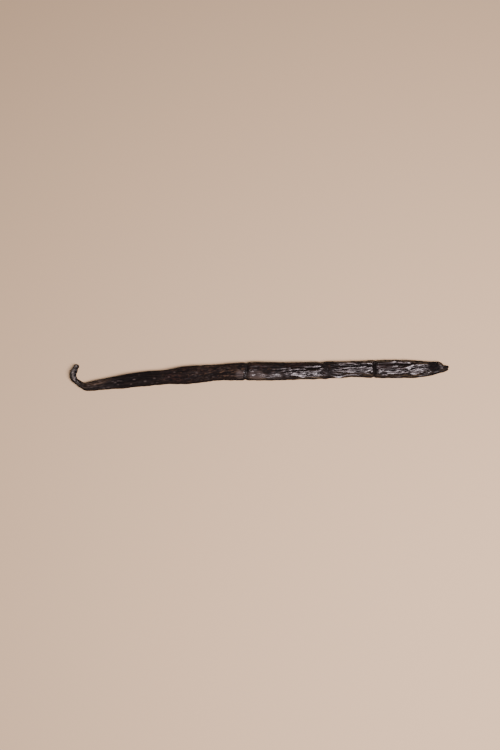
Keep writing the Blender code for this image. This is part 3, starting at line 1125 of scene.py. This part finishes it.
@dataclass(frozen=True)
class SkinFinish:
    """Oily, nearly black brown skin: dull and mottled by the stalk, glossy toward the blossom end. Its
    colour holds painted shade and painted highlights.

    The ramps read the skin's patterns, which run from 0 to 1, the wrinkles' relief, from -1 on a crest
    to 1 in a groove, and the place across the pod, in millimetres toward +Y.
    """

    name: str = "pod_skin"
    black: Colour = (0.0046, 0.0038, 0.0036, 1.0)
    # Near-black: the skin's own mottles and threads, and painted shade on one side of the hook, along the
    # neck's rim and in the shade marks.
    black_mottles_and_painted_shade: Colour = (0.0014, 0.0014, 0.0017, 1.0)
    brown: Colour = (0.0210, 0.0120, 0.0078, 1.0)
    red_brown: Colour = (0.0260, 0.0115, 0.0092, 1.0)
    tan: Colour = (0.0950, 0.0560, 0.0320, 1.0)
    # Painted highlight: the lighter, mauve brown laid on the wrinkle crests.
    painted_crest_highlight: Colour = (0.0165, 0.0110, 0.0092, 1.0)
    scar: Colour = (0.0160, 0.0110, 0.0090, 1.0)
    # The stalk's grey; the finish puts it only on the hook's painted lit side.
    hook: Colour = (0.0200, 0.0188, 0.0168, 1.0)
    # Painted light: the pale colour of the mottles on the hook's lit side and of the highlight along the
    # neck.
    painted_stalk_highlight: Colour = (0.1250, 0.1140, 0.1030, 1.0)
    neck: Colour = (0.0720, 0.0470, 0.0310, 1.0)
    # Painted highlight: the pale colour of the painted glints and sheen.
    speck: Colour = (0.0950, 0.0740, 0.0670, 1.0)
    # Painted shade: near-black blended over the dry skin toward its -Y side and over the flanks.
    edge: Colour = (0.0030, 0.0024, 0.0024, 1.0)
    sheen_tint: Colour = (1.0, 0.87, 0.89, 1.0)
    streaks: Grain = Grain(0.55, 9.0, 3.0)
    threads: Grain = Grain(0.45, 4.5, 2.0)
    patches: Grain = Grain(3.0, 8.0, 2.0)
    flecks: Grain = Grain(0.35, 2.2, 2.0)
    lines: Grain = Grain(0.30, 3.2, 1.0)
    mottles: Grain = Grain(0.6, 1.1, 3.0)
    finest: Grain = Grain(0.16, 1.1, 2.0)
    pebble: Grain = Grain(0.22, 0.30, 2.0)
    crests: Ramp = Ramp(0.1, -0.8)
    crest_streaks: Ramp = Ramp(0.3, 0.7, 0.2, 1.0)
    # Painted shade: how far the wrinkle grooves are blended to black.
    grooves: Ramp = Ramp(0.0, 0.9, 0.0, 0.85)
    speck_strength: float = 0.65
    pale_lines: Ramp = Ramp(0.42, 0.56, 0.45, 1.0)
    # Painted shade: how far the dry skin is darkened toward its -Y side, by the place across the pod.
    lower_shade: Ramp = Ramp(-0.5, -3.5, 0.0, 0.6)
    # Painted shade marks, broken by mottles.
    dark_mottles: Ramp = Ramp(0.60, 0.50, 0.4, 0.95)
    # Painted shade: how far the flanks are darkened.
    flank_shade: float = 0.9
    # Painted light and shade: the side of the hook that these pick is painted lighter, the rest of the hook
    # is painted near-black shade.
    hook_inner: Ramp = Ramp(1.0, 0.2)
    hook_outer: Ramp = Ramp(-2.2, -1.3, 0.25, 1.0)
    hook_mottles: Ramp = Ramp(0.44, 0.56)
    hook_threads: Ramp = Ramp(0.46, 0.36)
    neck_streaks: Ramp = Ramp(0.56, 0.46, 0.0, 0.9)
    # Painted shade: the neck darkens toward its -Y side, and its rim there goes near-black.
    neck_shade: Ramp = Ramp(0.4, -1.4, 0.0, 0.7)
    # Painted highlight: the side and the lines of the pale streak along the neck.
    painted_highlight_side: Ramp = Ramp(-1.0, -2.0)
    painted_highlight_lines: Ramp = Ramp(0.47, 0.58, 0.0, 0.5)
    neck_painted_rim_shade: Ramp = Ramp(-1.5, -2.1, 0.0, 0.9)
    brown_patches: Ramp = Ramp(0.3, 0.7, 0.45, 1.0)
    red_patches: Ramp = Ramp(0.45, 0.60, 0.1, 0.8)
    tan_flecks: Ramp = Ramp(0.54, 0.66)
    soot_mottles: Ramp = Ramp(0.52, 0.42, 0.0, 0.85)
    soot_lines: Ramp = Ramp(0.50, 0.42, 0.0, 0.80)
    rough_flecks: Ramp = Ramp(0.38, 0.62, 0.22, 0.40)
    rough_dry: Ramp = Ramp(0.0, 0.6, 0.60, 0.0)
    rough_grooves: Ramp = Ramp(-0.3, 0.7, 0.0, 0.12)
    rough_patches: Ramp = Ramp(0.35, 0.65, 0.05, -0.05)
    rough_wet: float = -0.05
    rough_dull: float = 0.35
    rough_dark: float = 0.45
    rough_dent: float = 0.20
    rough_flank: float = 0.40
    rough_scar: float = 0.25
    smoothest: float = 0.16
    film_flecks: Ramp = Ramp(0.40, 0.54)
    film_threads: Ramp = Ramp(0.42, 0.53, 0.3, 1.0)
    fine_share: float = 0.75
    bump_strength: float = 0.35
    bump_distance: float = 0.06 * MM
    ior: float = 1.50
    specular_level: float = 0.19
    coat_roughness: float = 0.25
    grain: GrainGroup = GrainGroup()
    scatter: SpeckGroup = SpeckGroup()

    def material(self) -> bpy.types.Material:
        """Builds the material."""
        material = bpy.data.materials.new(self.name)
        material.use_nodes = True
        make = NodeMaker(material.node_tree)
        surface = material.node_tree.nodes["Principled BSDF"]
        read = self._readings(make)
        make.value(self._colour(make, read), surface.inputs["Base Color"])
        make.value(self._roughness(make, read), surface.inputs["Roughness"])
        make.value(self._oil(make, read), surface.inputs["Coat Weight"])
        make.value(self._normal(make, read), surface.inputs["Normal"])
        surface.inputs["Coat Roughness"].default_value = self.coat_roughness
        surface.inputs["IOR"].default_value = self.ior
        surface.inputs["Specular IOR Level"].default_value = self.specular_level
        surface.inputs["Specular Tint"].default_value = self.sheen_tint
        return material

    def _readings(self, make: NodeMaker) -> SkinReadings:
        """Attribute nodes for all that the mesh keeps, and the skin's patterns."""
        skin = make.attribute("skin", "Vector")
        parts = make.add("ShaderNodeSeparateXYZ")
        make.value(skin, parts.inputs[0])
        return SkinReadings(
            skin=skin,
            side=parts.outputs["Y"],
            wrinkle=make.attribute("wrinkle"),
            flank=make.attribute("flank"),
            dent=make.attribute("dent"),
            scar=make.attribute("scar"),
            changes={change.name: make.attribute(change.name) for change in fields(SkinChanges)},
            spots={kind.name: make.attribute(f"{kind.name}_spots") for kind in fields(SkinSpots)},
            streaks=self.grain.use(make, skin, self.streaks),
            threads=self.grain.use(make, skin, self.threads),
            patches=self.grain.use(make, skin, self.patches),
            flecks=self.grain.use(make, skin, self.flecks),
            lines=self.grain.use(make, skin, self.lines),
            mottles=self.grain.use(make, skin, self.mottles),
            specks=self.scatter.use(make, skin),
        )

    def _colour(self, make: NodeMaker, read: SkinReadings) -> Socket:
        """Black in the grooves as painted shade, brown and streaked in the middle stretch, pale and mottled
        in the hook, with painted shade and highlights.
        """
        change, spots = read.changes, read.spots
        skin = make.blend(change["neck"], self._body(make, read), self._stalk(make, read))
        # Painted highlight: a lighter brown on the wrinkle crests, broken into streaks.
        crest = make.remap(read.wrinkle, self.crests)
        crest = make.times(crest, make.remap(read.streaks, self.crest_streaks))
        skin = make.blend(crest, skin, self.painted_crest_highlight)
        # Painted shade: the wrinkle grooves are blended to black.
        skin = make.blend(make.remap(read.wrinkle, self.grooves), skin, self.black)
        # Painted glints and sheen: scattered specks and pale spots are blended to a pale colour.
        specks = make.times(read.specks, make.times(change["speckled"], self.speck_strength))
        pale = make.times(spots["pale"], make.remap(read.lines, self.pale_lines))
        skin = make.blend(make.maths("MAXIMUM", specks, pale), skin, self.speck)
        # Painted shade: away from the stalk, the dry skin is darkened toward its -Y side.
        shade = make.times(make.remap(read.side, self.lower_shade), make.rest(change["oily"]))
        skin = make.blend(make.times(shade, make.rest(change["stalk"])), skin, self.edge)
        # Painted shade: near-black along some grooves and in the hollow behind the lips.
        dark = make.times(spots["dark"], make.remap(read.mottles, self.dark_mottles))
        skin = make.blend(dark, skin, self.black_mottles_and_painted_shade)
        # Painted shade: the flanks are darkened.
        skin = make.blend(make.times(read.flank, self.flank_shade), skin, self.edge)
        return make.blend(read.scar, skin, self.scar)

    def _stalk(self, make: NodeMaker, read: SkinReadings) -> Socket:
        """The stalk's hook, painted light with pale mottles along one side and painted shade on the other,
        and the brown neck behind it.
        """
        # Painted light: one side of the hook gets the stalk's grey and pale mottles; the other side is
        # near-black as painted shade.
        painted_lit_side = make.times(make.remap(read.side, self.hook_inner), make.remap(read.side, self.hook_outer))
        hook = make.blend(painted_lit_side, self.black_mottles_and_painted_shade, self.hook)
        pale = make.times(painted_lit_side, make.remap(read.mottles, self.hook_mottles))
        hook = make.blend(pale, hook, self.painted_stalk_highlight)
        hook = make.blend(make.remap(read.threads, self.hook_threads), hook, self.black_mottles_and_painted_shade)
        neck = make.blend(make.remap(read.streaks, self.neck_streaks), self.neck, self.black)
        # Painted shade: the neck is darkened toward its -Y side, and near-black along its rim there.
        neck = make.blend(make.remap(read.side, self.neck_shade), neck, self.black)
        # Painted highlight: a pale streak along the neck's -Y side, broken by lines.
        lower = make.times(read.changes["paled"], make.remap(read.side, self.painted_highlight_side))
        lower = make.times(lower, make.remap(read.lines, self.painted_highlight_lines))
        neck = make.blend(lower, neck, self.painted_stalk_highlight)
        neck = make.blend(make.remap(read.side, self.neck_painted_rim_shade), neck, self.black_mottles_and_painted_shade)
        return make.blend(read.changes["stalk"], neck, hook)

    def _body(self, make: NodeMaker, read: SkinReadings) -> Socket:
        """The long part: black, with brown, red and tan where it is dry."""
        change, spots = read.changes, read.spots
        browned = make.times(change["browned"], make.remap(read.patches, self.brown_patches))
        skin = make.blend(browned, self.black, self.brown)
        reddened = make.times(change["reddened"], make.remap(read.patches, self.red_patches))
        skin = make.blend(make.maths("MAXIMUM", reddened, spots["reddened"]), skin, self.red_brown)
        tanned = make.times(change["tanned"], make.remap(read.flecks, self.tan_flecks))
        skin = make.blend(make.maths("MAXIMUM", tanned, spots["tanned"]), skin, self.tan)
        skin = make.blend(make.remap(read.mottles, self.soot_mottles), skin, self.black_mottles_and_painted_shade)
        return make.blend(make.remap(read.lines, self.soot_lines), skin, self.black_mottles_and_painted_shade)

    def _roughness(self, make: NodeMaker, read: SkinReadings) -> Socket:
        """Glossier on the oily ridges, duller in the grooves, where the skin is dry, and on the scars."""
        rough = make.remap(read.flecks, self.rough_flecks)
        for more in (
            make.remap(read.changes["oily"], self.rough_dry),
            make.remap(read.wrinkle, self.rough_grooves),
            make.remap(read.patches, self.rough_patches),
            make.times(read.spots["wet"], self.rough_wet),
            make.times(read.spots["dull"], self.rough_dull),
            make.times(read.spots["dark"], self.rough_dark),
            make.times(read.dent, self.rough_dent),
            make.times(read.flank, self.rough_flank),
            make.times(read.scar, self.rough_scar),
        ):
            rough = make.maths("ADD", rough, more)
        return make.maths("MAXIMUM", rough, self.smoothest, clamp=True)

    def _oil(self, make: NodeMaker, read: SkinReadings) -> Socket:
        """The film of oil: in flecks and streaks, thin where the skin is dry, none on the flanks."""
        film = make.times(read.changes["oily"], make.remap(read.flecks, self.film_flecks))
        film = make.maths("MINIMUM", make.maths("ADD", film, read.spots["wet"]), 1.0)
        film = make.times(film, make.remap(read.threads, self.film_threads))
        for mask in (read.spots["dull"], read.spots["dark"], read.flank):
            film = make.times(film, make.rest(mask))
        return film

    def _normal(self, make: NodeMaker, read: SkinReadings) -> Socket:
        """The finest wrinkles, and a fine grain between them."""
        fine = self.grain.use(make, read.skin, self.finest)
        pebble = self.grain.use(make, read.skin, self.pebble)
        height = make.maths(
            "ADD", make.times(fine, self.fine_share), make.times(pebble, 1.0 - self.fine_share)
        )
        relief = make.add("ShaderNodeBump")
        relief.inputs["Strength"].default_value = self.bump_strength
        relief.inputs["Distance"].default_value = self.bump_distance
        make.value(height, relief.inputs["Height"])
        return relief.outputs["Normal"]


@dataclass(frozen=True)
class FloorFinish:
    """Plain pale floor paper."""

    name: str = "floor_paper"
    colour: Colour = (0.672, 0.500, 0.316, 1.0)
    roughness: float = 0.95
    specular_level: float = 0.1

    def material(self) -> bpy.types.Material:
        """Builds the material."""
        material = bpy.data.materials.new(self.name)
        material.use_nodes = True
        surface = material.node_tree.nodes["Principled BSDF"]
        surface.inputs["Base Color"].default_value = self.colour
        surface.inputs["Roughness"].default_value = self.roughness
        surface.inputs["Specular IOR Level"].default_value = self.specular_level
        return material


class Lamp(Enum):
    """The studio's lamps: place, aim and size in metres, turn in degrees, power in watts, colour."""

    KEY = ((0.20, -0.19, 0.52), (0.055, -0.02, 0.0), (0.42, 0.17), -10.0, 7.35, (1.0, 0.87, 0.90))


@dataclass(frozen=True)
class Studio:
    """Floor, soft lamps and camera. None of it is part of the pod."""

    floor_size: float = 4.0
    elevation_deg: float = 75.0
    distance: float = 0.5803
    lens: float = 60.0
    aim: tuple[float, float, float] = (-4.35 * MM, 0.72 * MM, 0.0)
    ambient: Colour = (1.0, 0.98, 0.96, 1.0)
    ambient_strength: float = 0.06

    def build(self) -> None:
        """Makes the whole studio."""
        self._floor()
        for lamp in Lamp:
            self._lamp(lamp)
        self._surroundings()
        self._camera()

    def _floor(self) -> None:
        """A plain pale floor at the pod's lowest point."""
        low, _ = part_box(NODE)
        bpy.ops.object.select_all(action="DESELECT")
        bpy.ops.mesh.primitive_plane_add(size=self.floor_size, location=(0.0, 0.0, low.z))
        floor = bpy.context.active_object
        floor.name = "floor"
        floor.data.materials.append(FloorFinish().material())
        floor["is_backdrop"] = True

    def _lamp(self, lamp: Lamp) -> None:
        """One soft area lamp, turned toward its aim."""
        place, aim, size, turn_deg, power, colour = lamp.value
        data = bpy.data.lights.new(lamp.name.lower(), "AREA")
        data.shape = "RECTANGLE"
        data.size, data.size_y = size
        data.energy = power
        data.color = colour
        light = bpy.data.objects.new(lamp.name.lower(), data)
        light.location = place
        facing = Vector((0.0, 0.0, -1.0)).rotation_difference(Vector(aim) - Vector(place))
        turn = Quaternion((0.0, 0.0, 1.0), math.radians(turn_deg))
        light.rotation_euler = (facing @ turn).to_euler()
        bpy.context.scene.collection.objects.link(light)

    def _surroundings(self) -> None:
        """Dim, even light from all round."""
        world = bpy.data.worlds.new("studio")
        world.use_nodes = True
        background = world.node_tree.nodes["Background"]
        background.inputs["Color"].default_value = self.ambient
        background.inputs["Strength"].default_value = self.ambient_strength
        bpy.context.scene.world = world

    def _camera(self) -> None:
        """Looks steeply down along +Y."""
        data = bpy.data.cameras.new("camera")
        data.lens = self.lens
        camera = bpy.data.objects.new("camera", data)
        elevation = math.radians(self.elevation_deg)
        away = Vector((0.0, -math.cos(elevation), math.sin(elevation))) * self.distance
        camera.location = Vector(self.aim) + away
        camera.rotation_euler = (-away).to_track_quat("-Z", "Y").to_euler()
        bpy.context.scene.collection.objects.link(camera)
        bpy.context.scene.camera = camera


def main() -> None:
    """Builds the pod and the studio."""
    logging.basicConfig(level=logging.INFO, format="%(name)s: %(message)s")
    cad_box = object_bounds()
    Studio().build()
    pod = PodSkin().build()
    pod.data.materials.clear()
    pod.data.materials.append(SkinFinish().material())
    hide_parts(NODE)
    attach(pod, BODY)
    log.info("%s: %d vertices, %d faces", pod.name, len(pod.data.vertices), len(pod.data.polygons))
    boxes = {"cad": cad_box, "visual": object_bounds()}
    boxes = {name: [list(corner) for corner in box] for name, box in boxes.items()}


if __name__ == "__main__":
    main()
